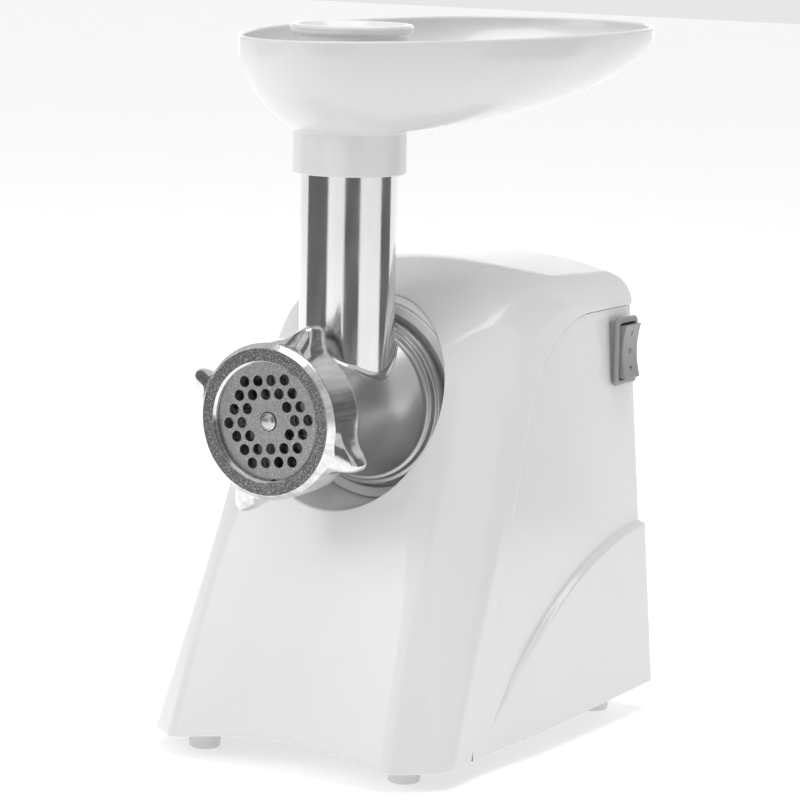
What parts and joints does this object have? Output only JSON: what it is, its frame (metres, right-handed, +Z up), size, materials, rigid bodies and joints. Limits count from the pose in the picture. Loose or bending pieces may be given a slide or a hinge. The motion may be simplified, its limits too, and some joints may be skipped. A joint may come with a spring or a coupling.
{
  "type": "electric meat grinder",
  "caption": "Countertop electric meat grinder with a moulded housing, a removable metal grinding head, a feed tray and a pusher.",
  "frame": {"origin": "middle of the bounding box at the height of the feet's undersides", "axes": "+X to the right seen from the front, +Y to the back along the barrel, +Z up"},
  "size_m": [0.159, 0.2785, 0.325],
  "materials": {
    "housing_plastic": "gloss",
    "trim_plastic": "satin",
    "foot_rubber": "matte",
    "polished_metal": "polished",
    "plate_steel": "brushed",
    "machine_steel": "machined",
    "dark_plastic": "matte",
    "gear_plastic": "satin",
    "copper_wire": "enamelled",
    "bearing_brass": "machined"
  },
  "bodies": {
    "housing": {"front_housing": "housing_plastic", "rear_housing": "housing_plastic", "base_plate": "housing_plastic", "foot_front_left": "foot_rubber", "foot_front_right": "foot_rubber", "foot_rear_left": "foot_rubber", "foot_rear_right": "foot_rubber", "foot_screw_front_left": "machine_steel", "foot_screw_front_right": "machine_steel", "foot_screw_rear_left": "machine_steel", "foot_screw_rear_right": "machine_steel", "socket_ring": "housing_plastic", "shaft_seal": "dark_plastic", "switch_bezel": "trim_plastic", "lock_spring": "machine_steel", "lock_spring_seat": "machine_steel", "gearbox_case": "dark_plastic", "gearbox_cover": "dark_plastic", "output_bush": "bearing_brass", "first_axle": "machine_steel", "second_axle": "machine_steel", "stator_core": "machine_steel", "field_coil_upper": "copper_wire", "field_coil_lower": "copper_wire", "front_bracket": "machine_steel", "rear_bracket": "machine_steel", "front_bearing": "bearing_brass", "rear_bearing": "bearing_brass", "brush_left": "dark_plastic", "brush_right": "dark_plastic", "brush_holder_left": "bearing_brass", "brush_holder_right": "bearing_brass", "cord_inlet_bush": "trim_plastic"},
    "motor_rotor": {"motor_shaft": "machine_steel", "armature_core": "machine_steel", "armature_winding_front": "copper_wire", "armature_winding_rear": "copper_wire", "commutator": "copper_wire", "cooling_fan": "dark_plastic"},
    "first_stage": {"first_gear": "gear_plastic"},
    "second_stage": {"second_gear": "gear_plastic"},
    "output_drive": {"output_gear": "gear_plastic", "output_shaft": "machine_steel", "auger": "polished_metal", "knife": "machine_steel"},
    "head": {"head_barrel": "polished_metal"},
    "plate": {"cutting_plate": "plate_steel"},
    "ring": {"ring_nut": "polished_metal"},
    "tray": {"tray": "housing_plastic"},
    "pusher": {"pusher": "housing_plastic"},
    "rocker": {"switch_rocker": "trim_plastic"},
    "lock": {"lock_button": "trim_plastic"}
  },
  "joints": [
    {"name": "motor_spin", "type": "hinge", "parent": "housing", "child": "motor_rotor", "pos_m": [0, 0.02, 0.084], "axis": [0, 1, 0], "continuous": true},
    {"name": "first_gear_spin", "type": "hinge", "parent": "housing", "child": "first_stage", "pos_m": [0.02985, -0.02, 0.08701], "axis": [0, 1, 0], "continuous": true},
    {"name": "second_gear_spin", "type": "hinge", "parent": "housing", "child": "second_stage", "pos_m": [0.02495, -0.03, 0.12167], "axis": [0, 1, 0], "continuous": true},
    {"name": "auger_spin", "type": "hinge", "parent": "housing", "child": "output_drive", "pos_m": [0, -0.04, 0.1573], "axis": [0, 1, 0], "continuous": true},
    {"name": "head_twist", "type": "hinge", "parent": "housing", "child": "head", "pos_m": [0, -0.06, 0.1573], "axis": [0, 1, 0], "range_deg": [0, 20]},
    {"name": "ring_turn", "type": "hinge", "parent": "plate", "child": "ring", "pos_m": [0, -0.13, 0.1573], "axis": [0, -1, 0], "range_deg": [0, 1080]},
    {"name": "plate_out", "type": "slide", "parent": "head", "child": "plate", "axis": [0, -1, 0], "range_m": [0, 0.0091]},
    {"name": "tray_lift", "type": "slide", "parent": "head", "child": "tray", "axis": [0, 0, 1], "range_m": [0, 0.018]},
    {"name": "pusher_lift", "type": "slide", "parent": "head", "child": "pusher", "axis": [0, 0, 1], "range_m": [0, 0.13]},
    {"name": "switch_rock", "type": "hinge", "parent": "housing", "child": "rocker", "pos_m": [0.067, 0.063, 0.172], "axis": [0, 1, 0], "range_deg": [-8, 8]},
    {"name": "lock_press", "type": "slide", "parent": "housing", "child": "lock", "axis": [1, 0, 0], "range_m": [0, 0.003], "stiffness_N_per_m": 400, "springref_m": -0.002, "deforming": ["lock_spring"]}
  ],
  "couplings": [
    {"joint": "first_gear_spin", "follows": "motor_spin", "ratio": -0.2},
    {"joint": "second_gear_spin", "follows": "motor_spin", "ratio": 0.054545},
    {"joint": "auger_spin", "follows": "motor_spin", "ratio": -0.014229},
    {"joint": "plate_out", "follows": "ring_turn", "m_per_rad": 0.00047746}
  ]
}
